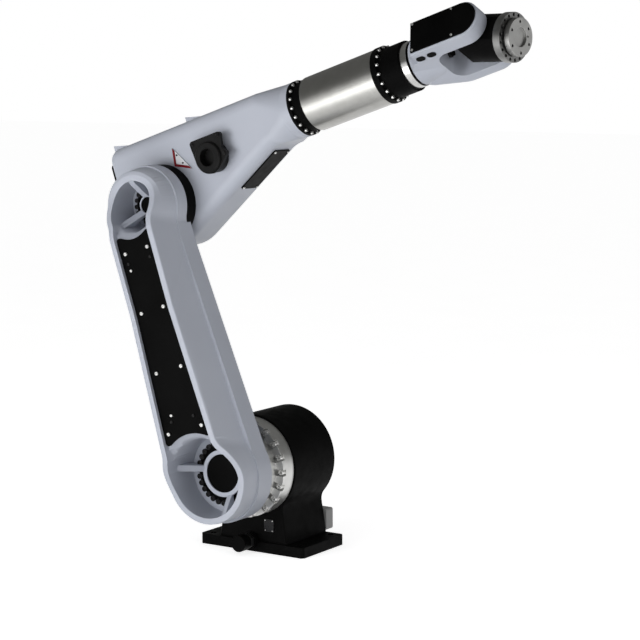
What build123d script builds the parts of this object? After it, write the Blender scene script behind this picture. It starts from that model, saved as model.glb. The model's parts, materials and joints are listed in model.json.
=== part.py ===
from build123d import *
import os
from math import atan2, cos, degrees, radians, sin, sqrt

# Jointed robot arm on a bolted foot: shoulder, elbow, forearm roll, wrist bend and tool turn.
# Millimetres, +Z up, origin in the middle of the foot's underside, forearm towards +X.
# The lower arm stands on the -Y side of the foot, and depth means distance towards -Y.

os.makedirs("parts", exist_ok=True)

# Stance at rest, in degrees
lean = 18.5
rise = 18.7
fork_roll = 28.9
wrist_bend = 20.2

# Shared fits
running_gap = 0.3
seat_gap = 0.2
overrun = 10

# Foot plate and its anchor bolts
plate_length = 360
plate_width = 215
plate_thick = 30
plate_chamfer = 8
anchor_spacing_x = 300
anchor_spacing_y = 165
anchor_radius = 9

# Pedestal with the shoulder drum
shoulder_height = 250
drum_radius = 147
drum_front = 98
drum_back = 112
drum_edge = 4
column_foot_half = 117
column_neck_half = 100
column_neck_height = 138
column_blend = 40
drum_cover_radius = 126
drum_cover_thick = 9

# Shoulder gear unit, fixed to the drum
gear_flange_radius = 142.5
gear_flange_length = 52
gear_nose_radius = 118
gear_nose_length = 40
gear_bolt_circle = 132
gear_bolt_count = 20
gear_scallop_radius = 9
gear_scallop_depth = 14

# Connection box, cable gland and bare plate on the pedestal
box_right = 116
box_length = 110
box_depth = 38
box_low = 32
box_height = 63
box_round = 6
gland_height = 33
gland_radius = 24
gland_neck_radius = 19
gland_collar_length = 14
gland_neck_length = 22
gland_nut_length = 28
sign_place_x = 58
sign_width = 32
sign_thick = 3
sign_height_share = 0.46
sign_middle_share = 0.645

# Lower arm casting: depths of its layers, then its outlines at each layer
arm_length = 785
arm_back = 200
arm_ledge = 262
arm_mouth = 329
arm_front = 365
shoulder_boss_back = 195
shoulder_boss_radius = 122
shoulder_spigot_radius = 60
shoulder_spigot_length = 45
elbow_recess_depth = 18
elbow_recess_radius = 120
elbow_spigot_radius = 50
elbow_spigot_length = 36
arm_blend = 60
slab_hip = 138
slab_low_half = 136
slab_mid_half = 91
slab_waist_drop = 125
slab_elbow = 113
ledge_hip = 133
ledge_low_half = 122
ledge_mid_half = 88
ledge_waist_drop = 165
ledge_elbow = 108
rim_hip = 130
rim_low_half = 103
rim_mid_half = 78
rim_waist_drop = 305
rim_elbow = 89
rim_width = 17
lip_round = 4
pocket_step = 1
saddle_width = 18

# Pockets with spoked hubs at both ends of the lower arm
pocket_floor = 228
hip_hub_radius = 67
hip_hub_front = 245
hip_cap_radius = 54.5
hip_ring_radius = 94
hip_ring_count = 28
hip_spoke_angles = (-85, 35, 155)
elbow_hub_radius = 28
elbow_hub_front = 253
elbow_cap_radius = 24
elbow_ring_radius = 58
elbow_ring_count = 18
elbow_spoke_angles = (-146, -31, 84)
hub_cap_sink = 3
hub_cap_thick = 8
ring_thick = 8
scallop_share = 0.36
spoke_thick = 18
spoke_rise = 66
spoke_depth = 24
spoke_root = 4

# Black cover on the lower arm's front
cover_sink = 10
cover_thick = 6
cover_ear_round = 10

# Elbow housing, seen from the side: u along the forearm, v square to it, both from the elbow axis
forearm_side = 97
forearm_offset = 124
barrel_radius = 78
housing_heel_radius = 127
housing_rear = 148
housing_rear_spare = 17
housing_rear_round = 42
housing_shoulder = 404
housing_edge = 35
housing_end = 491
nose_start = 385
nose_round = 465
nose_drop = 16
belly_blend = 100
pad_length = 56
pad_height = 14
pad_width = 90
pad_places = (-148, 127)
elbow_ring_outer = 112
elbow_ring_length = 38
elbow_far_radius = 82
elbow_far_thick = 8
rear_cover_thick = 13
rear_cover_height = 64
rear_cover_width = 136
rear_cover_lift = 6
rear_cover_round = 10
belly_cover_start = 208
belly_cover_length = 159
belly_cover_width = 76
belly_cover_thick = 4
belly_cover_round = 6

# Elbow motor with its mounting plate, and the pointer plate beside it
motor_u = 219
motor_v = 72
motor_radius = 43
motor_length = 45
motor_recess_radius = 25
motor_recess_depth = 26
motor_edge = 3
motor_top_ears = ((176, 122), (268, 122))
motor_side_ears = ((274, 68),)
motor_ear_radius = 9
motor_plate_rim = 3
motor_plate_back = 26
motor_plate_thick = 11
pointer_u = 74
pointer_v = 89
pointer_height = 51
pointer_length = 60
pointer_left_angle = 82
pointer_foot_angle = -23
pointer_thick = 4
pointer_strip_width = 7
pointer_strip_thick = 1.5

# Forearm: rear flange, tube, collar and roll gear ring, along the forearm from the elbow axis
flange_radius = 78.5
flange_rim_length = 9
flange_neck_radius = 70
flange_length = 44
tube_radius = 76.5
tube_length = 239
tube_wall = 8
collar_radius = 78.5
collar_flange_length = 18
collar_body_radius = 70
collar_length = 84
roll_ring_radius = 64
roll_ring_length = 22
roll_bore_radius = 40
roll_shaft_length = 40

# Wrist fork: length from its neck to the bend axis, then sizes about that axis
fork_length = 194.5
seal_radius = 60
seal_length = 6
seal_gap = 0.5
neck_radius = 62
neck_flare = 42
neck_taper = 7.5
tine_half = 104
tine_near_edge = 4
tine_far_edge = 25
slot_half = 58
fork_half_height = 51
fork_step = 158
fork_flare = 100
fork_flare_round = 70
slot_depth = 112
slot_round = 34
fork_cover_thick = 4
fork_cover_half = 46
fork_cover_rear = 154
far_cover_radius = 25
trunnion_radius = 38
trunnion_sink = 6
plug_length = 26
plug_width = 18
plug_height = 2
plug_rear = 142
plug_spacing = 34
plug_side = 76
crotch_gland_radius = 8
crotch_gland_length = 14
crotch_gland_spacing = 24

# Wrist body with its gear ring, and the tool flange, along the tool axis from the bend axis
wrist_half_width = 53
wrist_back_radius = 64
wrist_nose_radius = 64
wrist_nose_end = 82.5
wrist_barrel_radius = 62
tool_ring_radius = 65
tool_ring_length = 21
tool_ring_bolt_radius = 58
tool_ring_bolt_count = 18
tool_ring_hole_radius = 4.5
tool_ring_hole_depth = 10
tool_gap = 5
tool_shaft_radius = 30
tool_shaft_length = 24
flange_disc_radius = 50
flange_disc_thick = 15
flange_bolt_circle = 80
flange_bolt_count = 6
flange_hole_radius = 4
pilot_radius = 25
pilot_depth = 6
pin_hole_radius = 3
pin_circle = 62
pin_hole_angle = 30

# Places along the axes that follow from the sizes above
sign_space = shoulder_height - gear_flange_radius - plate_thick
sign_height = sign_height_share * sign_space
sign_middle = plate_thick + sign_middle_share * sign_space
slab_waist = arm_length - slab_waist_drop
ledge_waist = arm_length - ledge_waist_drop
rim_waist = arm_length - rim_waist_drop
arm_recess = arm_front - cover_sink - cover_thick
lip_low_half = rim_low_half - rim_width
lip_mid_half = rim_mid_half - rim_width
hip_pocket_radius = rim_hip - rim_width
elbow_pocket_radius = rim_elbow - rim_width
mouth_flare = degrees(atan2(saddle_width, arm_recess - arm_mouth))
gear_flange_front = drum_front + gear_flange_length
elbow_boss_back = arm_back + elbow_recess_depth
housing_near = forearm_side + barrel_radius
housing_far = forearm_side - barrel_radius
barrel_low = forearm_offset - barrel_radius
barrel_top = forearm_offset + barrel_radius
tube_start = housing_end + flange_length
tube_end = tube_start + tube_length
roll_ring_start = tube_end + collar_length
roll_ring_end = roll_ring_start + roll_ring_length
seal_start = roll_ring_end + seal_gap
neck_start = seal_start + seal_length
wrist_reach = neck_start + fork_length
tool_ring_end = wrist_nose_end + tool_ring_length
flange_disc_start = tool_ring_end + tool_gap
flange_disc_end = flange_disc_start + flange_disc_thick

# Working planes
front = Vector(0, -1, 0)
across = Vector(cos(radians(lean)), 0, sin(radians(lean)))
fore = Vector(cos(radians(rise)), 0, sin(radians(rise)))
shoulder_plane = Plane(origin=(0, 0, shoulder_height), x_dir=(1, 0, 0), z_dir=front)
arm_plane = Plane(origin=(0, 0, shoulder_height), x_dir=across, z_dir=front)
elbow_plane = Plane(origin=arm_plane.from_local_coords((0, arm_length, 0)), x_dir=across, z_dir=front)
housing_plane = Plane(origin=elbow_plane.origin, x_dir=fore, z_dir=front)
forearm_origin = housing_plane.from_local_coords((0, forearm_offset, forearm_side))
forearm_plane = Plane(origin=forearm_origin, x_dir=(0, 1, 0), z_dir=fore)
wrist_centre = forearm_plane.from_local_coords((0, 0, wrist_reach))
fork_across = forearm_plane.x_dir * cos(radians(fork_roll)) - forearm_plane.y_dir * sin(radians(fork_roll))
fork_down = fork_across.cross(fore)
tool = fore * cos(radians(wrist_bend)) + fork_down * sin(radians(wrist_bend))
roll_plane = Plane(origin=wrist_centre, x_dir=fork_across, z_dir=fore)
fork_plane = Plane(origin=wrist_centre, x_dir=fore, z_dir=-fork_across)
fork_under_plane = Plane(origin=wrist_centre, x_dir=fore, z_dir=fork_down)
bend_plane = Plane(origin=wrist_centre, x_dir=tool, z_dir=-fork_across)
tool_plane = Plane(origin=wrist_centre, x_dir=fork_across, z_dir=tool)


def draw_arm_outline(hip, low_half, mid_half, waist, elbow):
    """Lower arm seen from the front: two round ends joined by waisted sides."""
    Polygon(
        (-low_half, 0),
        (low_half, 0),
        (mid_half, waist),
        (mid_half, arm_length),
        (-mid_half, arm_length),
        (-mid_half, waist),
        align=None,
    )
    Circle(hip)
    with Locations((0, arm_length)):
        Circle(elbow)


def draw_inner_outline(clearance):
    """The space inside the lip on the arm's front."""
    draw_arm_outline(
        hip_pocket_radius - pocket_step,
        lip_low_half - clearance,
        lip_mid_half - clearance,
        rim_waist,
        elbow_pocket_radius - pocket_step,
    )


def draw_scalloped_ring(outer, inner, count):
    """Bolt ring in a pocket: its rim is notched once for every bolt."""
    Circle(outer)
    with PolarLocations(outer, count):
        Circle(scallop_share * outer * radians(360) / count, mode=Mode.SUBTRACT)
    Circle(inner, mode=Mode.SUBTRACT)


def spoke_plane(end_plane, angle):
    """Plane through a pocket's axis: x runs out from the axis, y towards the front."""
    radial = end_plane.x_dir * cos(radians(angle)) + end_plane.y_dir * sin(radians(angle))
    return Plane(origin=end_plane.origin, x_dir=radial, z_dir=radial.cross(end_plane.z_dir))


# Foot plate
with BuildPart() as base_plate:
    with BuildSketch():
        Rectangle(plate_length, plate_width)
    extrude(amount=plate_thick)
    chamfer(base_plate.edges().filter_by(Axis.Z), plate_chamfer)
    with GridLocations(anchor_spacing_x, anchor_spacing_y, 2, 2):
        Hole(anchor_radius)
base_plate.part.label = "base_plate"
export_step(base_plate.part, "parts/base_plate.step")

# Pedestal: a waisted column under a round drum, in one casting
column_slope = (column_foot_half - column_neck_half) / (column_neck_height - plate_thick)
column_top_half = column_foot_half - column_slope * (shoulder_height - plate_thick)
with BuildPart() as pedestal:
    with BuildSketch(Plane.XZ.offset(drum_front)) as pedestal_side:
        with BuildLine():
            Polyline(
                (-column_foot_half, plate_thick),
                (-column_top_half, shoulder_height),
                (column_top_half, shoulder_height),
                (column_foot_half, plate_thick),
                close=True,
            )
        make_face()
        with Locations((0, shoulder_height)):
            Circle(drum_radius)
        necks = pedestal_side.vertices().filter_by(lambda v: v.Y > plate_thick + drum_edge)
        fillet(necks, column_blend)
    extrude(amount=-(drum_front + drum_back))
    rims = pedestal.edges().filter_by(GeomType.CIRCLE).filter_by(lambda e: e.radius == drum_radius)
    chamfer(rims, drum_edge)
pedestal.part.label = "pedestal"
export_step(pedestal.part, "parts/pedestal.step")

# Round cover that closes the back of the drum
with BuildPart() as drum_cover:
    with BuildSketch(shoulder_plane.offset(-drum_back)):
        Circle(drum_cover_radius)
    extrude(amount=-drum_cover_thick)
    chamfer(drum_cover.edges().sort_by(Axis.Y)[-1], drum_edge)
drum_cover.part.label = "drum_cover"
export_step(drum_cover.part, "parts/drum_cover.step")

# Shoulder gear unit: bolt flange with a scallop for each bolt, then a narrower nose
with BuildPart() as shoulder_gear_ring:
    with BuildSketch(shoulder_plane.offset(drum_front)):
        Circle(gear_flange_radius)
    extrude(amount=gear_flange_length)
    with BuildSketch(shoulder_plane.offset(gear_flange_front)):
        Circle(gear_nose_radius)
    extrude(amount=gear_nose_length)
    with BuildSketch(shoulder_plane.offset(drum_front)):
        Circle(shoulder_spigot_radius + running_gap)
    extrude(amount=gear_flange_length + gear_nose_length, mode=Mode.SUBTRACT)
    with BuildSketch(shoulder_plane.offset(gear_flange_front)):
        with PolarLocations(gear_bolt_circle, gear_bolt_count):
            SlotCenterToCenter(gear_flange_radius, 2 * gear_scallop_radius)
        Circle(gear_nose_radius, mode=Mode.SUBTRACT)
    extrude(amount=-gear_scallop_depth, mode=Mode.SUBTRACT)
shoulder_gear_ring.part.label = "shoulder_gear_ring"
export_step(shoulder_gear_ring.part, "parts/shoulder_gear_ring.step")

# Connection box behind the pedestal
with BuildPart() as connection_box:
    with BuildSketch(Plane.XZ.offset(-drum_back)):
        with Locations((box_right - box_length / 2, box_low + box_height / 2)):
            RectangleRounded(box_length, box_height, box_round)
    extrude(amount=-box_depth)
    chamfer(connection_box.faces().sort_by(Axis.Y)[-1].edges(), box_round / 2)
connection_box.part.label = "connection_box"
export_step(connection_box.part, "parts/connection_box.step")

# Cable gland on the front edge of the foot
gland_end = plate_width / 2 + gland_collar_length + gland_neck_length + gland_nut_length
with BuildPart() as cable_gland:
    with BuildSketch(Plane.XZ.offset(plate_width / 2)):
        with Locations((0, gland_height)):
            Circle(gland_radius)
    extrude(amount=gland_collar_length)
    with BuildSketch(Plane.XZ.offset(plate_width / 2 + gland_collar_length)):
        with Locations((0, gland_height)):
            Circle(gland_neck_radius)
    extrude(amount=gland_neck_length)
    with BuildSketch(Plane.XZ.offset(gland_end - gland_nut_length)):
        with Locations((0, gland_height)):
            Circle(gland_radius)
    extrude(amount=gland_nut_length)
cable_gland.part.label = "cable_gland"
export_step(cable_gland.part, "parts/cable_gland.step")

# Bare plate on the front of the pedestal
with BuildPart() as sign_plate:
    with BuildSketch(Plane.XZ.offset(drum_front)):
        with Locations((sign_place_x, sign_middle)):
            RectangleRounded(sign_width, sign_height, sign_thick)
    extrude(amount=sign_thick)
sign_plate.part.label = "sign_plate"
export_step(sign_plate.part, "parts/sign_plate.step")

# Cutting shape for the saddles: a flare round each pocket's mouth, kept inside the lip
with BuildPart() as arm_saddles:
    for end_plane, pocket in ((arm_plane, hip_pocket_radius), (elbow_plane, elbow_pocket_radius)):
        with BuildSketch(end_plane.offset(arm_mouth)):
            Circle(pocket)
        extrude(amount=arm_recess - arm_mouth, taper=-mouth_flare)
    with BuildSketch(arm_plane.offset(arm_mouth)) as saddle_outline:
        draw_inner_outline(0)
        fillet(saddle_outline.vertices(), arm_blend + rim_width)
    extrude(amount=arm_recess - arm_mouth, mode=Mode.INTERSECT)

# Lower arm casting: back slab, tapered front with a lip, spoked pockets with saddles and both spigots
with BuildPart() as lower_arm:
    with BuildSketch(arm_plane.offset(arm_back)) as slab_outline:
        draw_arm_outline(slab_hip, slab_low_half, slab_mid_half, slab_waist, slab_elbow)
        fillet(slab_outline.vertices(), arm_blend)
    extrude(amount=arm_ledge - arm_back)
    with BuildSketch(arm_plane.offset(arm_ledge)) as ledge_outline:
        draw_arm_outline(ledge_hip, ledge_low_half, ledge_mid_half, ledge_waist, ledge_elbow)
        fillet(ledge_outline.vertices(), arm_blend)
    with BuildSketch(arm_plane.offset(arm_front)) as rim_outline:
        draw_arm_outline(rim_hip, rim_low_half, rim_mid_half, rim_waist, rim_elbow)
        fillet(rim_outline.vertices(), arm_blend)
    loft(ruled=True)
    fillet(lower_arm.faces().sort_by(Axis.Y)[0].edges(), lip_round)
    for end_plane, pocket in ((arm_plane, hip_pocket_radius), (elbow_plane, elbow_pocket_radius)):
        with BuildSketch(end_plane.offset(pocket_floor)):
            Circle(pocket)
        extrude(amount=arm_front - pocket_floor + overrun, mode=Mode.SUBTRACT)
    with BuildSketch(arm_plane.offset(arm_recess)) as recess_outline:
        draw_inner_outline(0)
        fillet(recess_outline.vertices(), arm_blend + rim_width)
    extrude(amount=arm_front - arm_recess + overrun, mode=Mode.SUBTRACT)
    add(arm_saddles.part, mode=Mode.SUBTRACT)
    hip_hub = (arm_plane, hip_hub_radius, hip_cap_radius, hip_hub_front)
    elbow_hub = (elbow_plane, elbow_hub_radius, elbow_cap_radius, elbow_hub_front)
    for (end_plane, hub, cap, hub_front), pocket, angles in (
        (hip_hub, hip_pocket_radius, hip_spoke_angles),
        (elbow_hub, elbow_pocket_radius, elbow_spoke_angles),
    ):
        with BuildSketch(end_plane.offset(pocket_floor)):
            Circle(hub)
        extrude(amount=hub_front - pocket_floor)
        with BuildSketch(end_plane.offset(hub_front)):
            Circle(cap + seat_gap)
        extrude(amount=-(hub_cap_sink + hub_cap_thick), mode=Mode.SUBTRACT)
        for angle in angles:
            with BuildSketch(spoke_plane(end_plane, angle)):
                with BuildLine():
                    Polyline(
                        (hub - spoke_root, pocket_floor + ring_thick + hub_cap_sink),
                        (hub - spoke_root, hub_front),
                        (pocket + spoke_root, hub_front + spoke_rise),
                        (pocket + spoke_root, hub_front + spoke_rise - 2 * spoke_depth),
                        close=True,
                    )
                make_face()
            extrude(amount=spoke_thick / 2, both=True)
            with BuildSketch(end_plane.offset(hub_front)):
                Circle(cap + seat_gap)
            extrude(amount=overrun, mode=Mode.SUBTRACT)
    with BuildSketch(elbow_plane.offset(arm_back)):
        Circle(elbow_recess_radius)
    extrude(amount=elbow_recess_depth, mode=Mode.SUBTRACT)
    with BuildSketch(elbow_plane.offset(elbow_boss_back)):
        Circle(elbow_spigot_radius)
    extrude(amount=-elbow_spigot_length)
    with BuildSketch(arm_plane.offset(arm_back)):
        Circle(shoulder_boss_radius)
    extrude(amount=shoulder_boss_back - arm_back)
    with BuildSketch(arm_plane.offset(shoulder_boss_back)):
        Circle(shoulder_spigot_radius)
    extrude(amount=-shoulder_spigot_length)
lower_arm.part.label = "lower_arm"
export_step(lower_arm.part, "parts/lower_arm.step")

# Black cover that closes the cable space in the lower arm
with BuildPart() as arm_cover:
    with BuildSketch(arm_plane.offset(arm_recess)) as cover_outline:
        draw_inner_outline(seat_gap)
        Circle(hip_pocket_radius + saddle_width, mode=Mode.SUBTRACT)
        with Locations((0, arm_length)):
            Circle(elbow_pocket_radius + saddle_width, mode=Mode.SUBTRACT)
        fillet(cover_outline.vertices(), cover_ear_round)
    extrude(amount=cover_thick)
arm_cover.part.label = "arm_cover"
export_step(arm_cover.part, "parts/arm_cover.step")

# Caps in the two hubs
with BuildPart() as shoulder_hub_cap:
    with BuildSketch(arm_plane.offset(hip_hub_front - hub_cap_sink)):
        Circle(hip_cap_radius)
    extrude(amount=-hub_cap_thick)
shoulder_hub_cap.part.label = "shoulder_hub_cap"
export_step(shoulder_hub_cap.part, "parts/shoulder_hub_cap.step")

with BuildPart() as elbow_hub_cap:
    with BuildSketch(elbow_plane.offset(elbow_hub_front - hub_cap_sink)):
        Circle(elbow_cap_radius)
    extrude(amount=-hub_cap_thick)
elbow_hub_cap.part.label = "elbow_hub_cap"
export_step(elbow_hub_cap.part, "parts/elbow_hub_cap.step")

# Notched bolt rings on the pocket floors
with BuildPart() as shoulder_bolt_ring:
    with BuildSketch(arm_plane.offset(pocket_floor)):
        draw_scalloped_ring(hip_ring_radius, hip_hub_radius + seat_gap, hip_ring_count)
    extrude(amount=ring_thick)
shoulder_bolt_ring.part.label = "shoulder_bolt_ring"
export_step(shoulder_bolt_ring.part, "parts/shoulder_bolt_ring.step")

with BuildPart() as elbow_bolt_ring:
    with BuildSketch(elbow_plane.offset(pocket_floor)):
        draw_scalloped_ring(elbow_ring_radius, elbow_hub_radius + seat_gap, elbow_ring_count)
    extrude(amount=ring_thick)
elbow_bolt_ring.part.label = "elbow_bolt_ring"
export_step(elbow_bolt_ring.part, "parts/elbow_bolt_ring.step")

# Cutting shape for the nose: what lies outside a loft from the square body to the round end
with BuildPart() as nose_waste:
    with BuildSketch(forearm_plane.offset(nose_start)):
        Rectangle(2 * housing_end, 2 * housing_end)
    extrude(amount=housing_end - nose_start + housing_edge)
    with BuildSketch(forearm_plane.offset(nose_start)):
        with Locations((0, -nose_drop / 2)):
            RectangleRounded(2 * barrel_radius, 2 * barrel_radius + nose_drop, housing_edge)
    with BuildSketch(forearm_plane.offset(nose_round)):
        RectangleRounded(2 * barrel_radius, 2 * barrel_radius, barrel_radius - running_gap)
    loft(ruled=True, mode=Mode.SUBTRACT)
    with BuildSketch(forearm_plane.offset(nose_round)):
        RectangleRounded(2 * barrel_radius, 2 * barrel_radius, barrel_radius - running_gap)
    extrude(amount=housing_end - nose_round, mode=Mode.SUBTRACT)

# Elbow housing: heel round the elbow axis, belly rising to a round nose, two pads on top
with BuildPart() as elbow_housing:
    with BuildSketch(housing_plane.offset(housing_far)) as housing_side:
        Circle(housing_heel_radius)
        rear_end = housing_rear + housing_rear_spare
        with Locations(((housing_shoulder - rear_end) / 2, forearm_offset)):
            Rectangle(housing_shoulder + rear_end, 2 * barrel_radius)
        make_hull()
        nose_spare_end = housing_end + housing_edge
        with Locations(((nose_spare_end + nose_start) / 2, forearm_offset)):
            Rectangle(nose_spare_end - nose_start, 2 * barrel_radius)
        rear_corners = housing_side.vertices().filter_by(lambda v: v.X < -housing_rear)
        fillet(rear_corners, housing_rear_round)
        belly_end = housing_side.vertices().sort_by_distance((housing_shoulder, barrel_low))[0]
        fillet(belly_end, belly_blend)
    extrude(amount=2 * barrel_radius)
    side_faces = elbow_housing.faces().filter_by(Axis.Y)
    fillet(side_faces.edges(), housing_edge)
    with BuildSketch(housing_plane.offset(housing_far)):
        with Locations((-housing_rear - housing_rear_spare / 2, forearm_offset)):
            Rectangle(housing_rear_spare, 2 * barrel_radius + overrun)
    extrude(amount=2 * barrel_radius, mode=Mode.SUBTRACT)
    add(nose_waste.part, mode=Mode.SUBTRACT)
    for pad_place in pad_places:
        with BuildSketch(housing_plane.offset(forearm_side)):
            with BuildLine():
                Polyline(
                    (pad_place, barrel_top - pad_height),
                    (pad_place, barrel_top + pad_height),
                    (pad_place + pad_length, barrel_top),
                    (pad_place + pad_length, barrel_top - pad_height),
                    close=True,
                )
            make_face()
        extrude(amount=pad_width / 2, both=True)
elbow_housing.part.label = "elbow_housing"
export_step(elbow_housing.part, "parts/elbow_housing.step")

# Elbow gear ring between the housing and the lower arm
with BuildPart() as elbow_gear_ring:
    with BuildSketch(elbow_plane.offset(housing_near)):
        Circle(elbow_ring_outer)
        Circle(elbow_spigot_radius + running_gap, mode=Mode.SUBTRACT)
    extrude(amount=elbow_ring_length)
elbow_gear_ring.part.label = "elbow_gear_ring"
export_step(elbow_gear_ring.part, "parts/elbow_gear_ring.step")

# Round cap on the far side of the elbow axis
with BuildPart() as elbow_far_cap:
    with BuildSketch(elbow_plane.offset(housing_far)):
        Circle(elbow_far_radius)
    extrude(amount=-elbow_far_thick)
elbow_far_cap.part.label = "elbow_far_cap"
export_step(elbow_far_cap.part, "parts/elbow_far_cap.step")

# Cover on the rear end of the housing
with BuildPart() as rear_cover:
    with BuildSketch(forearm_plane.offset(-housing_rear)):
        with Locations((0, rear_cover_lift)):
            RectangleRounded(rear_cover_width, rear_cover_height, rear_cover_round)
    extrude(amount=-rear_cover_thick)
    chamfer(rear_cover.faces().sort_by(Axis(forearm_origin, fore))[0].edges(), rear_cover_round / 3)
rear_cover.part.label = "rear_cover"
export_step(rear_cover.part, "parts/rear_cover.step")

# Cover on the sloping belly: the belly runs from the heel circle to the nose's lower corner
corner_angle = atan2(barrel_low, housing_shoulder)
corner_reach = sqrt(barrel_low**2 + housing_shoulder**2)
belly_run = sqrt(corner_reach**2 - housing_heel_radius**2)
belly_angle = degrees(corner_angle) + degrees(atan2(housing_heel_radius, belly_run))
belly_heel = housing_plane.from_local_coords(
    (
        housing_heel_radius * sin(radians(belly_angle)),
        -housing_heel_radius * cos(radians(belly_angle)),
        forearm_side,
    )
)
belly_plane = Plane(
    origin=belly_heel,
    x_dir=housing_plane.x_dir * cos(radians(belly_angle)) + housing_plane.y_dir * sin(radians(belly_angle)),
    z_dir=housing_plane.x_dir * sin(radians(belly_angle)) - housing_plane.y_dir * cos(radians(belly_angle)),
)
with BuildPart() as belly_cover:
    with BuildSketch(belly_plane):
        with Locations((belly_cover_start + belly_cover_length / 2, 0)):
            RectangleRounded(belly_cover_length, belly_cover_width, belly_cover_round)
    extrude(amount=belly_cover_thick)
belly_cover.part.label = "belly_cover"
export_step(belly_cover.part, "parts/belly_cover.step")

# Elbow motor: a mounting plate with ears, and a round body with a sunk end
with BuildPart() as motor_plate:
    for ears in (motor_top_ears, motor_side_ears):
        with BuildSketch(housing_plane.offset(housing_near + motor_plate_back)):
            with Locations(*ears):
                Circle(motor_ear_radius)
            with Locations((motor_u, motor_v)):
                Circle(motor_radius + motor_plate_rim)
            make_hull()
        extrude(amount=motor_plate_thick)
    with BuildSketch(housing_plane.offset(housing_near + motor_plate_back)):
        with Locations((motor_u, motor_v)):
            Circle(motor_radius + seat_gap)
    extrude(amount=motor_plate_thick, mode=Mode.SUBTRACT)
motor_plate.part.label = "motor_plate"
export_step(motor_plate.part, "parts/motor_plate.step")

with BuildPart() as elbow_motor:
    with BuildSketch(housing_plane.offset(housing_near)):
        with Locations((motor_u, motor_v)):
            Circle(motor_radius)
    extrude(amount=motor_length)
    chamfer(elbow_motor.edges().sort_by(Axis.Y)[0], motor_edge)
    with BuildSketch(housing_plane.offset(housing_near + motor_length)):
        with Locations((motor_u, motor_v)):
            Circle(motor_recess_radius)
    extrude(amount=-motor_recess_depth, mode=Mode.SUBTRACT)
elbow_motor.part.label = "elbow_motor"
export_step(elbow_motor.part, "parts/elbow_motor.step")

# Three-cornered pointer plate, with red strips along its left and lower edges
pointer_up = Vector(cos(radians(pointer_left_angle)), sin(radians(pointer_left_angle)))
pointer_out = Vector(cos(radians(pointer_foot_angle)), sin(radians(pointer_foot_angle)))
pointer_corner = Vector(pointer_u, pointer_v)
pointer_top = pointer_corner + pointer_up * pointer_height
pointer_tip = pointer_corner + pointer_out * pointer_length
strip_corner = pointer_corner + (pointer_up + pointer_out) * pointer_strip_width
with BuildPart() as pointer_plate:
    with BuildSketch(housing_plane.offset(housing_near)):
        Polygon(pointer_corner, pointer_tip, pointer_top, align=None)
    extrude(amount=pointer_thick)
pointer_plate.part.label = "pointer_plate"
export_step(pointer_plate.part, "parts/pointer_plate.step")

with BuildPart() as pointer_strips:
    with BuildSketch(housing_plane.offset(housing_near + pointer_thick)):
        Polygon(pointer_corner, pointer_tip, pointer_top, align=None)
        Polygon(
            strip_corner,
            strip_corner + pointer_out * pointer_length,
            strip_corner + pointer_up * pointer_height,
            align=None,
            mode=Mode.SUBTRACT,
        )
    extrude(amount=pointer_strip_thick)
pointer_strips.part.label = "pointer_strips"
export_step(pointer_strips.part, "parts/pointer_strips.step")

# Forearm: bolted rear flange, tube, collar and roll gear ring in a row
with BuildPart() as forearm_flange:
    with BuildSketch(forearm_plane.offset(housing_end)):
        Circle(flange_radius)
    extrude(amount=flange_rim_length)
    with BuildSketch(forearm_plane.offset(housing_end + flange_rim_length)):
        Circle(flange_neck_radius)
    extrude(amount=flange_length - flange_rim_length)
forearm_flange.part.label = "forearm_flange"
export_step(forearm_flange.part, "parts/forearm_flange.step")

with BuildPart() as forearm_tube:
    with BuildSketch(forearm_plane.offset(tube_start)):
        Circle(tube_radius)
        Circle(tube_radius - tube_wall, mode=Mode.SUBTRACT)
    extrude(amount=tube_length)
forearm_tube.part.label = "forearm_tube"
export_step(forearm_tube.part, "parts/forearm_tube.step")

with BuildPart() as forearm_collar:
    with BuildSketch(forearm_plane.offset(tube_end)):
        Circle(collar_radius)
    extrude(amount=collar_flange_length)
    with BuildSketch(forearm_plane.offset(tube_end + collar_flange_length)):
        Circle(collar_body_radius)
    extrude(amount=collar_length - collar_flange_length)
    with BuildSketch(forearm_plane.offset(roll_ring_start)):
        Circle(roll_bore_radius + running_gap)
    extrude(amount=-(collar_length - collar_flange_length), mode=Mode.SUBTRACT)
forearm_collar.part.label = "forearm_collar"
export_step(forearm_collar.part, "parts/forearm_collar.step")

with BuildPart() as roll_gear_ring:
    with BuildSketch(forearm_plane.offset(roll_ring_start)):
        Circle(roll_ring_radius)
        Circle(roll_bore_radius + running_gap, mode=Mode.SUBTRACT)
    extrude(amount=roll_ring_length)
roll_gear_ring.part.label = "roll_gear_ring"
export_step(roll_gear_ring.part, "parts/roll_gear_ring.step")

# Black seal ring at the root of the fork, with the shaft that turns in the roll gear
with BuildPart() as fork_seal:
    with BuildSketch(forearm_plane.offset(seal_start)):
        Circle(seal_radius)
    extrude(amount=seal_length)
    with BuildSketch(forearm_plane.offset(seal_start)):
        Circle(roll_bore_radius)
    extrude(amount=-roll_shaft_length)
fork_seal.part.label = "fork_seal"
export_step(fork_seal.part, "parts/fork_seal.step")

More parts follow.
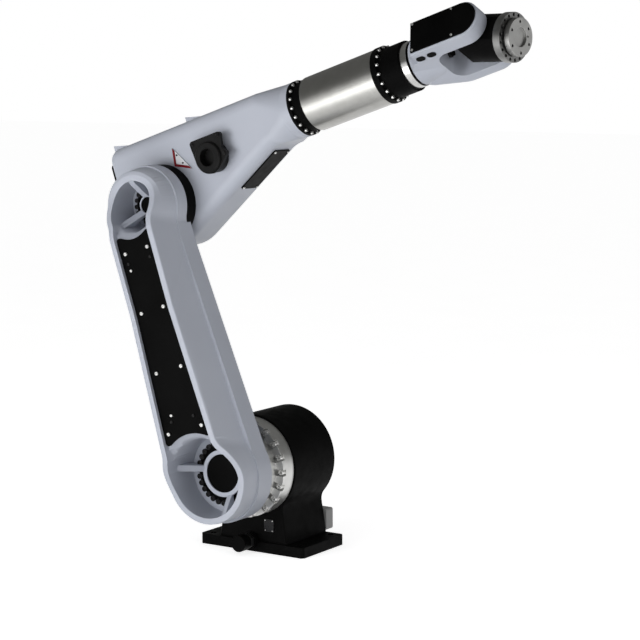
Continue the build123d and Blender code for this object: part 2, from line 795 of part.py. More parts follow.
# Wrist fork: round neck, flared far side, a plain tine on the near side and a slot between them
with BuildPart() as wrist_fork:
    with BuildSketch(fork_plane.offset(-tine_half)):
        with Locations((-fork_length / 2, 0)):
            Rectangle(fork_length, 2 * fork_half_height)
        Circle(fork_half_height)
    extrude(amount=tine_half + neck_radius)
    with BuildSketch(fork_under_plane) as fork_outline:
        with BuildLine():
            Polyline(
                (-fork_length, neck_radius),
                (fork_half_height, neck_radius),
                (fork_half_height, -tine_half),
                (-fork_flare, -tine_half),
                (-fork_length, -neck_radius),
                close=True,
            )
        make_face()
        flare_corner = fork_outline.vertices().sort_by_distance((-fork_flare, -tine_half))[0]
        fillet(flare_corner, fork_flare_round)
    extrude(amount=fork_half_height + overrun, both=True, mode=Mode.INTERSECT)
    far_face = wrist_fork.faces().sort_by(Axis(wrist_centre, fork_across))[-1]
    fillet(far_face.edges(), tine_far_edge)
    with BuildSketch(forearm_plane.offset(neck_start)):
        Circle(neck_radius)
    extrude(amount=fork_length + fork_half_height, taper=-neck_flare, mode=Mode.INTERSECT)
    with BuildSketch(forearm_plane.offset(neck_start)):
        Circle(neck_radius)
    extrude(amount=fork_length - fork_step + fork_half_height, taper=neck_taper)
    with BuildSketch(fork_plane):
        with Locations((-fork_step / 2, 0)):
            Rectangle(fork_step, 2 * fork_half_height)
        Circle(fork_half_height)
    extrude(amount=tine_half)
    near_face = wrist_fork.faces().sort_by(Axis(wrist_centre, fork_across))[0]
    fillet(near_face.edges(), tine_near_edge)
    with BuildSketch(fork_under_plane) as fork_slot:
        with Locations(((fork_half_height + overrun - slot_depth) / 2, 0)):
            Rectangle(slot_depth + fork_half_height + overrun, 2 * slot_half)
        crotch = fork_slot.vertices().filter_by(lambda v: v.X < 0)
        fillet(crotch, slot_round)
    extrude(amount=neck_radius + overrun, both=True, mode=Mode.SUBTRACT)
    with BuildSketch(fork_plane):
        Circle(trunnion_radius + running_gap)
    extrude(amount=slot_half + trunnion_sink + running_gap, both=True, mode=Mode.SUBTRACT)
wrist_fork.part.label = "wrist_fork"
export_step(wrist_fork.part, "parts/wrist_fork.step")


def draw_tine_cover():
    """Cover on a tine: round at the bend axis, straight at the rear."""
    with Locations((-fork_cover_rear / 2, 0)):
        Rectangle(fork_cover_rear, 2 * fork_cover_half)
    Circle(fork_cover_half)


# Covers on the outer faces of both tines
with BuildPart() as near_cover:
    with BuildSketch(fork_plane.offset(tine_half)):
        draw_tine_cover()
    extrude(amount=fork_cover_thick)
near_cover.part.label = "near_cover"
export_step(near_cover.part, "parts/near_cover.step")

with BuildPart() as far_cover:
    with BuildSketch(fork_plane.offset(-tine_half)):
        Circle(far_cover_radius)
    extrude(amount=-fork_cover_thick)
far_cover.part.label = "far_cover"
export_step(far_cover.part, "parts/far_cover.step")

# Two oval plugs in the underside of the near tine
with BuildPart() as fork_plugs:
    with BuildSketch(fork_under_plane.offset(fork_half_height)):
        with Locations((-plug_rear, plug_side), (-plug_rear + plug_spacing, plug_side)):
            SlotOverall(plug_length, plug_width)
    extrude(amount=plug_height)
fork_plugs.part.label = "fork_plugs"
export_step(fork_plugs.part, "parts/fork_plugs.step")

# Small cable glands in the crotch of the fork
with BuildPart() as crotch_glands:
    with BuildSketch(roll_plane.offset(-slot_depth)):
        with Locations((-crotch_gland_spacing / 2, 0), (crotch_gland_spacing / 2, 0)):
            Circle(crotch_gland_radius)
    extrude(amount=crotch_gland_length)
crotch_glands.part.label = "crotch_glands"
export_step(crotch_glands.part, "parts/crotch_glands.step")

# Wrist body between the tines, carried on two trunnions
with BuildPart() as wrist_body:
    with BuildSketch(bend_plane.offset(-wrist_half_width)):
        Circle(wrist_back_radius)
        with Locations((wrist_nose_end / 2, 0)):
            Rectangle(wrist_nose_end, 2 * wrist_nose_radius)
    extrude(amount=2 * wrist_half_width)
    with BuildSketch(tool_plane.offset(-wrist_back_radius)):
        Circle(wrist_barrel_radius)
    extrude(amount=wrist_back_radius + wrist_nose_end, mode=Mode.INTERSECT)
    with BuildSketch(bend_plane):
        Circle(trunnion_radius)
    extrude(amount=slot_half + trunnion_sink, both=True)
    with BuildSketch(tool_plane.offset(wrist_nose_end)):
        Circle(tool_shaft_radius + running_gap)
    extrude(amount=-tool_shaft_length, mode=Mode.SUBTRACT)
wrist_body.part.label = "wrist_body"
export_step(wrist_body.part, "parts/wrist_body.step")

# Gear ring on the nose of the wrist body
with BuildPart() as wrist_gear_ring:
    with BuildSketch(tool_plane.offset(wrist_nose_end)):
        Circle(tool_ring_radius)
        Circle(tool_shaft_radius + running_gap, mode=Mode.SUBTRACT)
    extrude(amount=tool_ring_length)
    with BuildSketch(tool_plane.offset(tool_ring_end)):
        with PolarLocations(tool_ring_bolt_radius, tool_ring_bolt_count):
            Circle(tool_ring_hole_radius)
    extrude(amount=-tool_ring_hole_depth, mode=Mode.SUBTRACT)
wrist_gear_ring.part.label = "wrist_gear_ring"
export_step(wrist_gear_ring.part, "parts/wrist_gear_ring.step")

# Tool flange: bolt circle, dowel hole and pilot recess on a short shaft
with BuildPart() as tool_flange:
    with BuildSketch(tool_plane.offset(flange_disc_start)):
        Circle(flange_disc_radius)
    extrude(amount=flange_disc_thick)
    with BuildSketch(tool_plane.offset(flange_disc_start)):
        Circle(tool_shaft_radius)
    extrude(amount=-tool_shaft_length)
    with BuildSketch(tool_plane.offset(flange_disc_end)):
        Circle(pilot_radius)
    extrude(amount=-pilot_depth, mode=Mode.SUBTRACT)
    with BuildSketch(tool_plane.offset(flange_disc_end)):
        with PolarLocations(flange_bolt_circle / 2, flange_bolt_count):
            Circle(flange_hole_radius)
        with PolarLocations(pin_circle / 2, 1, start_angle=pin_hole_angle):
            Circle(pin_hole_radius)
    extrude(amount=-flange_disc_thick, mode=Mode.SUBTRACT)
tool_flange.part.label = "tool_flange"
export_step(tool_flange.part, "parts/tool_flange.step")
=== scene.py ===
# %% [markdown]
# A jointed robot arm in Blender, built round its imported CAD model. The CAD nodes already have the right
# sizes and places, so this lesson leaves them where they are. It gives every CAD node a finish made from
# shader nodes, shows one casting as a bent copy, adds the screws and small fittings, and sets up a studio
# with the photo's view.

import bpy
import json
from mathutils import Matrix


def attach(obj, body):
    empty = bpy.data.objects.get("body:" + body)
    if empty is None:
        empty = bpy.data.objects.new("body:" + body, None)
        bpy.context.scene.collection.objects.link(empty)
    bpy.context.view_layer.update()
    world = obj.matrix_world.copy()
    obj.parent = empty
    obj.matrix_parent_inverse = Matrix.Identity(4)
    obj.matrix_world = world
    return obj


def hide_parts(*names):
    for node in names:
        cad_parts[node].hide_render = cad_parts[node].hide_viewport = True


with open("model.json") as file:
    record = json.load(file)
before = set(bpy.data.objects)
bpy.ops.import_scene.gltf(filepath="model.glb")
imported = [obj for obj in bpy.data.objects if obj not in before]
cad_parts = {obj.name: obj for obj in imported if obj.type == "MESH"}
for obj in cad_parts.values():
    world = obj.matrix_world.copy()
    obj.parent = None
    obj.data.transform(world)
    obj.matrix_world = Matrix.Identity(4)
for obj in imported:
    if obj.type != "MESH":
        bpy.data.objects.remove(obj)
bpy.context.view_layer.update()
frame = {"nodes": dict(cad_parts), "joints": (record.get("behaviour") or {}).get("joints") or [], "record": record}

# %% [markdown]
# Fittings could be placed by typed coordinates, but then nothing would tie them to the arm. The joints
# come with the frame, so their points and axes are used instead: the lower arm runs from the shoulder to
# the elbow, the forearm along its roll axis and the tool along its own. Places on the arm start from one
# of these, and only a few on the foot are typed.

# %% Axes and places from the joints
from mathutils import Matrix, Vector

hinges = {hinge["name"]: hinge for hinge in frame["joints"]}
shoulder, elbow, wrist = (Vector(hinges[name]["pos_m"]) for name in ("shoulder", "elbow", "wrist_bend"))
up = Vector((0, 0, 1))
right = Vector((1, 0, 0))
near = Vector((0, -1, 0))
arm_along = (elbow - shoulder).normalized()
arm_across = -near.cross(arm_along).normalized()
fore = Vector(hinges["forearm_roll"]["axis"]).normalized()
fore_up = near.cross(fore).normalized()
fork_across = Vector(hinges["wrist_bend"]["axis"]).normalized()
fork_up = fore.cross(fork_across).normalized()
tool = Vector(hinges["tool_turn"]["axis"]).normalized()
print("arm points up:", round(arm_along.z, 3), "forearm points right:", round(fore.x, 3))

# %% [markdown]
# The camera repeats the photo's view. Its place and lens were worked out from the edges of the arm in the
# photo. A short lens close by would swell the near end, so a long lens stands six metres away, which
# keeps the arm's sides almost parallel.

# %% Camera at the photo's view
import bpy
from math import atan2, cos, degrees, pi, radians, sin

camera_place = (3.3146, -4.8136, 1.4089)
camera_turn = radians(33.18)
camera_drop = radians(7.32)
camera_lens = 115.0


def show(new_object):
    """Puts a new object into the scene."""
    bpy.context.scene.collection.objects.link(new_object)


camera_data = bpy.data.cameras.new("photo_camera")
camera_data.lens = camera_lens
camera = bpy.data.objects.new("photo_camera", camera_data)
camera.location = camera_place
camera.rotation_euler = (pi / 2 - camera_drop, 0, camera_turn)
show(camera)
bpy.context.scene.camera = camera
print("camera looks down by", round(degrees(camera_drop), 2), "degrees")

# %% [markdown]
# A finish is a tree of shader nodes. Written out node by node, a tree takes dozens of lines and hides what
# it does. Short helpers keep it readable: one starts a material, one adds a node, the next ones are the
# nodes used most, and the last links a tree's results to its shader. An input given to add_node is either
# a value for the socket or the output of another node, which is then linked. Noise seldom leaves the
# middle of its range, so ramps stretch only that part.

# %% Node helpers
noise_low = 0.3
noise_high = 0.7


def new_finish(name):
    """A material with its node tree and its shader."""
    finish = bpy.data.materials.new(name)
    finish.use_nodes = True
    return finish, finish.node_tree, finish.node_tree.nodes["Principled BSDF"]


def add_node(tree, kind, inputs, **settings):
    """Adds one node, sets its options, then fills or links its inputs."""
    node = tree.nodes.new("ShaderNode" + kind)
    for option, value in settings.items():
        setattr(node, option, value)
    for socket, value in inputs.items():
        if isinstance(value, bpy.types.NodeSocket):
            tree.links.new(value, node.inputs[socket])
        else:
            node.inputs[socket].default_value = value
    return node


def object_place(tree):
    """Object coordinates, in metres in the arm's own frame."""
    return add_node(tree, "TexCoord", {}).outputs["Object"]


def noise(tree, place, size, detail):
    """Noise with features of the size given, in metres."""
    return add_node(tree, "TexNoise", {"Vector": place, "Scale": 1 / size, "Detail": detail}).outputs["Fac"]


def shade_between(tree, factor, dark, light, low=noise_low, high=noise_high):
    """A colour ramp from dark to light, driven by a factor."""
    ramp = add_node(tree, "ValToRGB", {"Fac": factor})
    ramp.color_ramp.elements[0].position = low
    ramp.color_ramp.elements[0].color = (*dark, 1)
    ramp.color_ramp.elements[1].position = high
    ramp.color_ramp.elements[1].color = (*light, 1)
    return ramp.outputs["Color"]


def stretch(tree, value, low, high, start=noise_low, stop=noise_high):
    """Stretches a value's range from start and stop to low and high."""
    limits = {"Value": value, "From Min": start, "From Max": stop, "To Min": low, "To Max": high}
    return add_node(tree, "MapRange", limits).outputs["Result"]


def bumps(tree, height, strength, distance, **normal):
    """The normal of a surface with bumps of the height given."""
    sockets = {"Height": height, "Strength": strength, "Distance": distance, **normal}
    return add_node(tree, "Bump", sockets).outputs["Normal"]


def dress(tree, shader, colour, roughness, normal):
    """Links a tree's three results to its shader."""
    for socket, result in (("Base Color", colour), ("Roughness", roughness), ("Normal", normal)):
        tree.links.new(result, shader.inputs[socket])


print("node helpers ready")

# %% [markdown]
# No edge on a casting or a moulding is sharp: paint draws back from it and hands rub it bright. Real
# roundings on every edge would cost a great many faces. The Bevel node gives the normal that a small
# rounding would have. Where that normal and the face's own one differ there is an edge, so their likeness
# makes a mask as well. The mask lays a lighter colour along the edges: wear in patches, and a painted
# highlight along every edge.

# %% Soft edges, and worn edges with a painted highlight
edge_round = 0.0014
edge_rays = 4
likeness_off_edge = 0.985
likeness_on_edge = 0.88
# The next three shape the lighter edges: wear in patches, and a painted highlight on every edge.
least_wear_and_highlight = 0.15
wear_and_highlight_starts = 0.4
wear_and_highlight_is_full = 0.62


def soft_edges(tree):
    """The normal over rounded edges, and a mask that is 1 along them."""
    rounded = add_node(tree, "Bevel", {"Radius": edge_round}, samples=edge_rays).outputs["Normal"]
    flat = add_node(tree, "NewGeometry", {}).outputs["Normal"]
    likeness = add_node(tree, "VectorMath", {0: rounded, 1: flat}, operation="DOT_PRODUCT").outputs["Value"]
    return rounded, stretch(tree, likeness, 0.0, 1.0, likeness_off_edge, likeness_on_edge)


def wear_and_painted_highlight(tree, edge, spots, colour, worn_and_highlit):
    """Lays the worn colour over a colour, along edges and where the spots are high: wear, and a painted highlight
    on the edges.
    """
    patchy = stretch(tree, spots, least_wear_and_highlight, 1.0, wear_and_highlight_starts, wear_and_highlight_is_full)
    amount = add_node(tree, "Math", {0: edge, 1: patchy}, operation="MULTIPLY").outputs[0]
    return add_node(tree, "Mix", {0: amount, 6: colour, 7: (*worn_and_highlit, 1)}, data_type="RGBA").outputs[2]


print("edges are rounded by", edge_round * 1000, "mm")

# %% [markdown]
# Paint and plastic on a machine are never one flat colour. Slow noise shifts the colour a little, as
# sprayed coats do. Finer noise roughens the gloss in patches where hands and rags have been. The finest
# noise goes into a bump: orange peel on paint, sand grain on castings, a fine texture on mouldings. One
# function makes them all, because they differ only in colours, gloss, roughness and the sizes of the
# noises.

# %% Coated surfaces
wipes_per_patch = 5
patch_detail = 4.0
wipe_detail = 6.0
grain_detail = 3.0
grain_strength = 0.35


def coat(name, dark, light, worn_and_highlit, rough, gloss, patch_size, grain_size, grain_height):
    """A sprayed or moulded surface. Sizes are in metres."""
    finish, tree, shader = new_finish(name)
    place = object_place(tree)
    patches = noise(tree, place, patch_size, patch_detail)
    wipes = noise(tree, place, patch_size / wipes_per_patch, wipe_detail)
    grain = noise(tree, place, grain_size, grain_detail)
    rounded, edge = soft_edges(tree)
    # Lighter along the edges: wear, and a painted highlight.
    colour = wear_and_painted_highlight(tree, edge, wipes, shade_between(tree, patches, dark, light), worn_and_highlit)
    dress(
        tree, shader, colour, stretch(tree, wipes, *rough),
        bumps(tree, grain, grain_strength, grain_height, Normal=rounded),
    )
    shader.inputs["Specular IOR Level"].default_value = gloss
    return finish


def grey(level):
    """A grey with the same red, green and blue."""
    return (level, level, level)


print("wipes are", wipes_per_patch, "times finer than patches of colour")

# %% [markdown]
# The arm wears one blue-grey enamel, sprayed on castings. The foot, drum and wrist have a black coat with
# a fine sand grain under it. Covers are black mouldings, the motor is a tone lighter and the connection
# box is grey. Each look is a short list of named values, so two coats can be compared line by line.

# %% Enamel, black coats and mouldings
# Each worn colour goes along the edges: wear, and a painted highlight.
coats = {
    "arm_paint": dict(
        dark=(0.44, 0.465, 0.53), light=(0.475, 0.50, 0.565), worn_and_highlit=(0.56, 0.58, 0.63),
        rough=(0.34, 0.46), gloss=0.42, patch_size=0.25, grain_size=0.0016, grain_height=0.00012,
    ),
    "black_casting": dict(
        dark=grey(0.002), light=grey(0.004), worn_and_highlit=grey(0.016),
        rough=(0.42, 0.58), gloss=0.025, patch_size=0.12, grain_size=0.0009, grain_height=0.0003,
    ),
    "black_cover": dict(
        dark=grey(0.0015), light=grey(0.003), worn_and_highlit=(0.014, 0.014, 0.015),
        rough=(0.34, 0.46), gloss=0.03, patch_size=0.1, grain_size=0.0007, grain_height=0.0001,
    ),
    "motor_black": dict(
        dark=grey(0.006), light=grey(0.011), worn_and_highlit=grey(0.03),
        rough=(0.4, 0.52), gloss=0.12, patch_size=0.06, grain_size=0.0008, grain_height=0.0002,
    ),
    "box_grey": dict(
        dark=grey(0.29), light=grey(0.33), worn_and_highlit=grey(0.42),
        rough=(0.4, 0.5), gloss=0.3, patch_size=0.08, grain_size=0.0012, grain_height=0.0001,
    ),
    "sign_blank": dict(
        dark=(0.010, 0.010, 0.011), light=(0.016, 0.016, 0.017), worn_and_highlit=grey(0.12),
        rough=(0.25, 0.35), gloss=0.2, patch_size=0.03, grain_size=0.0006, grain_height=0.00005,
    ),
    "pointer_white": dict(
        dark=(0.68, 0.69, 0.72), light=(0.76, 0.77, 0.79), worn_and_highlit=grey(0.6),
        rough=(0.35, 0.45), gloss=0.3, patch_size=0.04, grain_size=0.0008, grain_height=0.00005,
    ),
    "pointer_red": dict(
        dark=(0.15, 0.004, 0.008), light=(0.20, 0.006, 0.012), worn_and_highlit=(0.28, 0.03, 0.03),
        rough=(0.35, 0.45), gloss=0.2, patch_size=0.02, grain_size=0.0008, grain_height=0.00005,
    ),
}
finishes = {name: coat(name, **look) for name, look in coats.items()}
print("coats:", sorted(finishes))

# %% [markdown]
# Turned metal carries fine lines left by the tool, and they run round the part's own axis. An anisotropic
# shader could fake their gleam, but it needs a tangent for every piece. Here a Mapping node moves the
# pattern to that axis and stands it upright. The distance from the axis and the height along it then feed
# one noise, so the lines close on themselves on flat faces and on round walls alike.

# %% Turned metal
line_detail = 3.0
line_strength = 0.25
smear_size = 0.03
smear_detail = 5.0
# Bare metal is brighter along its edges: wear, and a painted highlight.
worn_and_highlit_gain = 1.35


def turned_metal(name, centre, axis, dark, light, rough, line_size, line_height):
    """Bare metal with lines round an axis. Sizes are in metres."""
    finish, tree, shader = new_finish(name)
    upright = axis.rotation_difference(up).to_matrix()
    shift = {"Vector": object_place(tree), "Location": -(upright @ centre), "Rotation": upright.to_euler()}
    local = add_node(tree, "Mapping", shift).outputs["Vector"]
    flat = add_node(tree, "VectorMath", {0: local, 1: (1, 1, 0)}, operation="MULTIPLY").outputs["Vector"]
    reach = add_node(tree, "VectorMath", {0: flat}, operation="LENGTH").outputs["Value"]
    height = add_node(tree, "SeparateXYZ", {"Vector": local}).outputs["Z"]
    section = add_node(tree, "CombineXYZ", {"X": reach, "Y": height}).outputs["Vector"]
    lines = noise(tree, section, line_size, line_detail)
    smears = noise(tree, local, smear_size, smear_detail)
    rounded, edge = soft_edges(tree)
    # Lighter along the edges: wear, and a painted highlight.
    worn_and_highlit = [min(1.0, worn_and_highlit_gain * channel) for channel in light]
    colour = wear_and_painted_highlight(tree, edge, smears, shade_between(tree, smears, dark, light), worn_and_highlit)
    dress(
        tree, shader, colour, stretch(tree, lines, *rough),
        bumps(tree, lines, line_strength, line_height, Normal=rounded),
    )
    shader.inputs["Metallic"].default_value = 1.0
    return finish


metals = {
    "shoulder_gear_ring": dict(
        name="shoulder_gear_steel", centre=shoulder, axis=near,
        dark=(0.58, 0.58, 0.57), light=(0.68, 0.68, 0.67), rough=(0.3, 0.44),
        line_size=0.0009, line_height=0.0001,
    ),
    "roll_gear_ring": dict(
        name="roll_gear_steel", centre=wrist, axis=fore,
        dark=(0.5, 0.5, 0.49), light=(0.6, 0.6, 0.59), rough=(0.16, 0.26),
        line_size=0.0008, line_height=0.0001,
    ),
    "wrist_gear_ring": dict(
        name="wrist_gear_steel", centre=wrist, axis=tool,
        dark=(0.2, 0.2, 0.197), light=(0.26, 0.26, 0.256), rough=(0.32, 0.44),
        line_size=0.0008, line_height=0.0001,
    ),
    "tool_flange": dict(
        name="tool_flange_steel", centre=wrist, axis=tool,
        dark=(0.36, 0.36, 0.352), light=(0.43, 0.43, 0.42), rough=(0.3, 0.42),
        line_size=0.0007, line_height=0.0001,
    ),
    "forearm_tube": dict(
        name="tube_aluminium", centre=wrist, axis=fore,
        dark=(0.38, 0.377, 0.36), light=(0.43, 0.427, 0.41), rough=(0.27, 0.36),
        line_size=0.0005, line_height=0.00005,
    ),
}
node_finishes = {node_name: turned_metal(**look) for node_name, look in metals.items()}
print("turned metals:", sorted(node_finishes))

# %% [markdown]
# The record names a material slot for every CAD node, and one finish for each slot would be the short way.
# A turned part needs lines round its own axis, though, so a node's own finish comes first and the slot's
# second.

# %% Give every node its finish
slot_of_node = {part["node"]: part["material_slot"] for part in frame["record"]["subparts"]}
for node_name, node in frame["nodes"].items():
    node.data.materials.clear()
    node.data.materials.append(node_finishes.get(node_name) or finishes[slot_of_node[node_name]])
print("finished nodes:", len(slot_of_node))

# %% [markdown]
# The arm is held together by socket head cap screws. One screw is a short cylinder with a softened rim
# and a six-sided socket. A cutter could sink the socket, but operators keep the mesh clean: a cone with
# equal ends makes the cylinder, bevel softens its rim, and two insets sink the socket. The inner loop is
# pulled onto a hexagon before it goes down.

# %% One cap screw
import bmesh

head_sides = 24
rim_segments = 2
rim_share = 0.14
socket_wall_share = 0.4
socket_draft_share = 0.02
socket_depth_share = 0.55
sample_head = (0.005, 0.006)


def top_face(bm):
    """The largest face among the highest ones."""
    return max(bm.faces, key=lambda face: (round(face.calc_center_median().z, 6), face.calc_area()))


def drum(sides, radius, height, rim):
    """A cylinder or a prism on z = 0 with a softened upper rim."""
    bm = bmesh.new()
    middle = Matrix.Translation((0, 0, height / 2))
    bmesh.ops.create_cone(
        bm, cap_ends=True, segments=sides, radius1=radius, radius2=radius, depth=height, matrix=middle
    )
    rim_edges = list(top_face(bm).edges)
    bmesh.ops.bevel(
        bm, geom=rim_edges, offset=rim, segments=rim_segments, affect="EDGES", profile=0.5, material=-1
    )
    return bm


def cap_screw(head_radius, head_height):
    """A cap screw's head, standing on z = 0."""
    bm = drum(head_sides, head_radius, head_height, rim_share * head_radius)
    socket = top_face(bm)
    bmesh.ops.inset_region(bm, faces=[socket], thickness=socket_wall_share * head_radius)
    for corner in socket.verts:
        turn = atan2(corner.co.y, corner.co.x)
        reach = corner.co.xy.length * cos(pi / 6) / cos(turn % (pi / 3) - pi / 6)
        corner.co.xy = (reach * cos(turn), reach * sin(turn))
    bmesh.ops.inset_individual(
        bm, faces=[socket], thickness=socket_draft_share * head_radius,
        depth=-socket_depth_share * head_height,
    )
    return bm


one_screw = cap_screw(*sample_head)
print("faces in one screw:", len(one_screw.faces))
one_screw.free()

# %% [markdown]
# Screws come in two finishes. Black oxide is one more dark coat. Zinc plate is bright, pale and a little
# cloudy. The rims of the heads are modelled round, so it leaves the Bevel node out. The arm's paint is
# listed too, for the casting that is bent further down.

# %% Finishes of the fittings
zinc_dark = (0.66, 0.66, 0.65)
zinc_light = (0.84, 0.84, 0.82)
zinc_rough = (0.22, 0.38)
zinc_metal = 0.85
cloud_size = 0.004
cloud_detail = 4.0
scratch_size = 0.0006
scratch_detail = 2.0
scratch_strength = 0.2
scratch_depth = 0.00005


def zinc_plate():
    """Zinc-plated steel, cloudy and finely scratched."""
    finish, tree, shader = new_finish("zinc_plate")
    place = object_place(tree)
    cloud = noise(tree, place, cloud_size, cloud_detail)
    scratches = noise(tree, place, scratch_size, scratch_detail)
    colour = shade_between(tree, cloud, zinc_dark, zinc_light)
    dress(
        tree, shader, colour, stretch(tree, cloud, *zinc_rough),
        bumps(tree, scratches, scratch_strength, scratch_depth),
    )
    shader.inputs["Metallic"].default_value = zinc_metal
    return finish


# Its worn colour along the edges is wear and a painted highlight.
black_oxide = coat(
    "black_oxide", dark=grey(0.006), light=grey(0.012), worn_and_highlit=grey(0.04),
    rough=(0.35, 0.5), gloss=0.2, patch_size=0.01, grain_size=0.0006, grain_height=0.00005,
)
fitting_finishes = {
    "gear_steel": zinc_plate(),
    "black_cover": black_oxide,
    "arm_paint": finishes["arm_paint"],
}
print("fitting finishes:", sorted(fitting_finishes))

# %% [markdown]
# A screw is never alone: it sits in a ring, a row or the corners of a plate. Linked objects or instances
# would do, but every set of fittings moves as one with the body that it is screwed to. So one head is
# copied to every place in a single mesh, and the set becomes one piece.


def keep_piece(bm, name, body, slot):
    """Turns a bmesh into a piece that rides on a body."""
    bmesh.ops.recalc_face_normals(bm, faces=bm.faces)
    mesh = bpy.data.meshes.new(name)
    bm.to_mesh(mesh)
    bm.free()
    mesh.materials.append(fitting_finishes[slot])
    piece = bpy.data.objects.new(name, mesh)
    show(piece)
    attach(piece, body)


def copies(proto, places):
    """One bmesh with a copy of proto at every place."""
    pattern = bpy.data.meshes.new("pattern")
    proto.to_mesh(pattern)
    proto.free()
    joined = bmesh.new()
    for place in places:
        first = len(joined.verts)
        joined.from_mesh(pattern)
        joined.verts.ensure_lookup_table()
        bmesh.ops.transform(joined, matrix=place, verts=joined.verts[first:])
    bpy.data.meshes.remove(pattern)
    return joined


def stand(point, axis):
    """The placement that stands a z-up shape on a point, along an axis."""
    return Matrix.Translation(point) @ up.rotation_difference(axis).to_matrix().to_4x4()


def ring_places(centre, axis, first, radius, count, offset=0.0):
    """Evenly spaced places round an axis, the first in the direction given, turned by offset degrees."""
    places = []
    for step in range(count):
        spoke = Matrix.Rotation(radians(offset) + 2 * pi * step / count, 3, axis) @ first
        places.append(stand(centre + radius * spoke, axis))
    return places


def corner_places(centre, axis, long_way, half_long, wide_way, half_wide):
    """Four places at the corners of a rectangle."""
    corners = [(a, b) for a in (-half_long, half_long) for b in (-half_wide, half_wide)]
    return [stand(centre + a * long_way + b * wide_way, axis) for a, b in corners]


def screws(name, body, places, head, slot="gear_steel"):
    """A set of equal cap screws. A head is its radius and its height."""
    keep_piece(copies(cap_screw(*head), places), name, body, slot)
    print(name, len(places))


print("helpers for fittings ready")

# %% [markdown]
# On the real casting the lip runs back at both ends, so that it lies lower round the pockets than beside
# the cover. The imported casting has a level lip. A lattice could bend it, but a formula says in three
# numbers where a bend starts, where it stops and how deep it is. The scene replaces the node with a copy.
# The copy's doubled corners are merged first, then planes cut across it where it bends, so that there are
# corners to move, and the front moves back.

# %% Bend the ends of the lower arm
lip_base = 0.308
lip_front = 0.365
bends = ((0.700, 0.845, 0.052), (0.105, -0.030, 0.039))
bend_cuts = 10
merge_gap = 0.00001
cut_gap = 0.000001


def bend_back(along, depth):
    """How far a point in front of the lip's base moves back. A bend has a start, a stop and a drop."""
    raised = max(depth - lip_base, 0) / (lip_front - lip_base)
    back = 0
    for start, stop, drop in bends:
        share = min(max((along - start) / (stop - start), 0), 1)
        back += drop * raised * share * share * (3 - 2 * share)
    return back


casting = bmesh.new()
casting.from_mesh(frame["nodes"]["lower_arm"].data)
bmesh.ops.remove_doubles(casting, verts=casting.verts, dist=merge_gap)
for start, stop, drop in bends:
    for cut in range(bend_cuts + 1):
        cut_point = shoulder + (start + (stop - start) * cut / bend_cuts) * arm_along
        whole = casting.verts[:] + casting.edges[:] + casting.faces[:]
        bmesh.ops.bisect_plane(casting, geom=whole, dist=cut_gap, plane_co=cut_point, plane_no=arm_along)
for corner in casting.verts:
    place = corner.co - shoulder
    corner.co -= bend_back(place.dot(arm_along), place.dot(near)) * near
print("faces in the bent casting:", len(casting.faces))
keep_piece(casting, "arm_casting", "lower_arm_body", "arm_paint")
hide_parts("lower_arm")

# %% [markdown]
# The shoulder gear unit is bolted to the drum through its scalloped flange: twenty bright screws, one in
# each scallop. Smaller ones hold the flange and the collar at the two ends of the forearm's tube. Each
# screw could be placed by hand, but all three sets are rings, so one helper sets them.

# %% Screws round the shoulder and the forearm
gear_circle = 0.132
gear_seat = 0.136
gear_screw_count = 20
gear_head = (0.0078, 0.012)
flange_circle = 0.0742
flange_seats_back = {"forearm_flange_screws": 0.581, "collar_screws": 0.289}
flange_screw_count = 18
flange_turn = 1.5
flange_head = (0.0044, 0.006)

screws(
    "shoulder_ring_screws", "base",
    ring_places(shoulder + gear_seat * near, near, right, gear_circle, gear_screw_count), gear_head,
)
for flange_name, seat_back in flange_seats_back.items():
    flange_seat = wrist - seat_back * fore
    screws(
        flange_name, "forearm_body",
        ring_places(flange_seat, fore, near, flange_circle, flange_screw_count, flange_turn), flange_head,
    )

# %% [markdown]
# Black screws fill the notched rings in the two pockets of the lower arm. They clamp the gear units'
# output flanges. The CAD nodes have their first notch straight across the arm, so the screws start half a
# step round and stand on the lobes between the notches.

# %% Screws in the pockets
ring_front = 0.236
pocket_head_height = 0.004
pockets = (
    ("shoulder_pocket_screws", shoulder, 0.0865, 28, 0.0078),
    ("elbow_pocket_screws", elbow, 0.0515, 18, 0.0068),
)

for pocket_name, pocket_centre, pocket_circle, pocket_count, pocket_head_radius in pockets:
    half_step = 180 / pocket_count
    pocket_seat = pocket_centre + ring_front * near
    screws(
        pocket_name, "lower_arm_body",
        ring_places(pocket_seat, near, arm_across, pocket_circle, pocket_count, half_step),
        (pocket_head_radius, pocket_head_height), "black_cover",
    )

# %% [markdown]
# Eight bright screws hold the long black cover on the lower arm, in four rows at an even pitch. The rows
# widen towards the shoulder as the cover does, so each row has its own half width. Two smaller bright
# ones and four black ones sit a little inside the end rows.

# %% Screws on the arm cover
cover_front = 0.355
cover_rows = ((0.145, 0.060), (0.317, 0.045), (0.489, 0.0405), (0.661, 0.0405))
clamp_spots = ((-0.034, 0.193), (-0.037, 0.612))
dark_spots = ((-0.040, 0.176), (0.040, 0.176), (-0.040, 0.632), (0.040, 0.632))
cover_head = (0.0052, 0.004)
clamp_head = (0.004, 0.003)
dark_head = (0.0042, 0.0025)


def arm_places(spots):
    """Places on the lower arm's cover, from spots across and along the arm."""
    return [stand(shoulder + a * arm_across + b * arm_along + cover_front * near, near) for a, b in spots]


row_spots = [(side * half, along) for along, half in cover_rows for side in (-1, 1)]
screws("arm_cover_screws", "lower_arm_body", arm_places(row_spots), cover_head)
screws("cable_clamp_screws", "lower_arm_body", arm_places(clamp_spots), clamp_head)
screws("cover_dark_screws", "lower_arm_body", arm_places(dark_spots), dark_head, "black_cover")

# %% [markdown]
# The elbow housing carries small parts, each on its own screws: the motor's plate by its three ears and
# the pointer plate by two. The housing leans with the forearm, so a spot is given along the forearm,
# above it and towards the near side, all from the elbow.

